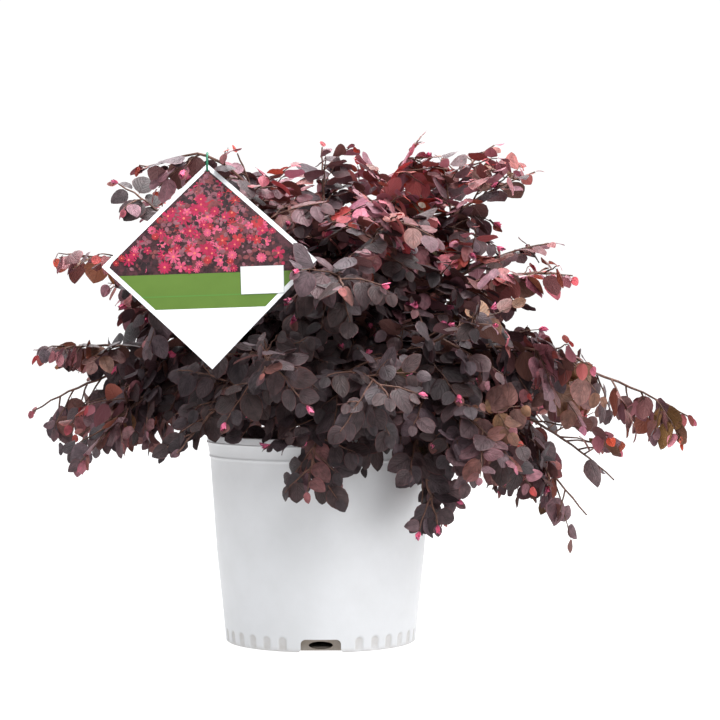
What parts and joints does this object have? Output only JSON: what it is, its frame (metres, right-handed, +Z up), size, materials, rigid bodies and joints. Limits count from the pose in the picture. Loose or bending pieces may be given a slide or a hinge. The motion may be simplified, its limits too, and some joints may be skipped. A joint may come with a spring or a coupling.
{
  "type": "potted Chinese fringe flower shrub",
  "caption": "Purple-leaved Chinese fringe flower, a low spreading shrub with arching boughs, in a round white nursery pot with a square card tag hung from a twig.",
  "frame": {"origin": "middle of the pot's flat underside", "axes": "+Z up along the pot's axis, the card tag hangs towards -Y, and the longest branch reaches towards +X"},
  "size_m": [0.6358, 0.4966, 0.4757],
  "materials": {
    "pot_plastic": "satin",
    "potting_mix": "matte",
    "bark": "matte",
    "foliage": "satin",
    "tag_card": "satin",
    "hook_plastic": "satin"
  },
  "bodies": {
    "root": {"bough_back": "bark", "bough_back_far_right": "bark", "bough_back_left": "bark", "bough_back_right": "bark", "bough_back_top": "bark", "bough_crest": "bark", "bough_crest_right": "bark", "bough_front": "bark", "bough_front_left": "bark", "bough_front_right": "bark", "bough_left": "bark", "bough_left_high": "bark", "bough_right": "bark", "bough_right_high": "bark", "bough_right_low": "bark", "bough_shoulder": "bark", "bough_tag": "bark", "foliage_back_1": "foliage", "foliage_back_2": "foliage", "foliage_back_far_right_1": "foliage", "foliage_back_far_right_2": "foliage", "foliage_back_left_1": "foliage", "foliage_back_left_2": "foliage", "foliage_back_right_1": "foliage", "foliage_back_right_2": "foliage", "foliage_back_top_1": "foliage", "foliage_back_top_2": "foliage", "foliage_crest_1": "foliage", "foliage_crest_2": "foliage", "foliage_crest_right_1": "foliage", "foliage_crest_right_2": "foliage", "foliage_front_1": "foliage", "foliage_front_2": "foliage", "foliage_front_left_1": "foliage", "foliage_front_left_2": "foliage", "foliage_front_right_1": "foliage", "foliage_front_right_2": "foliage", "foliage_front_right_3": "foliage", "foliage_left_1": "foliage", "foliage_left_2": "foliage", "foliage_left_3": "foliage", "foliage_left_high_1": "foliage", "foliage_left_high_2": "foliage", "foliage_left_high_3": "foliage", "foliage_right_1": "foliage", "foliage_right_2": "foliage", "foliage_right_high_1": "foliage", "foliage_right_high_2": "foliage", "foliage_right_low_1": "foliage", "foliage_right_low_2": "foliage", "foliage_shoulder_1": "foliage", "foliage_shoulder_2": "foliage", "foliage_tag_1": "foliage", "foliage_tag_2": "foliage", "pot": "pot_plastic", "potting_mix": "potting_mix", "tag": "tag_card", "tag_hook": "hook_plastic", "trunk": "bark"}
  },
  "joints": []
}
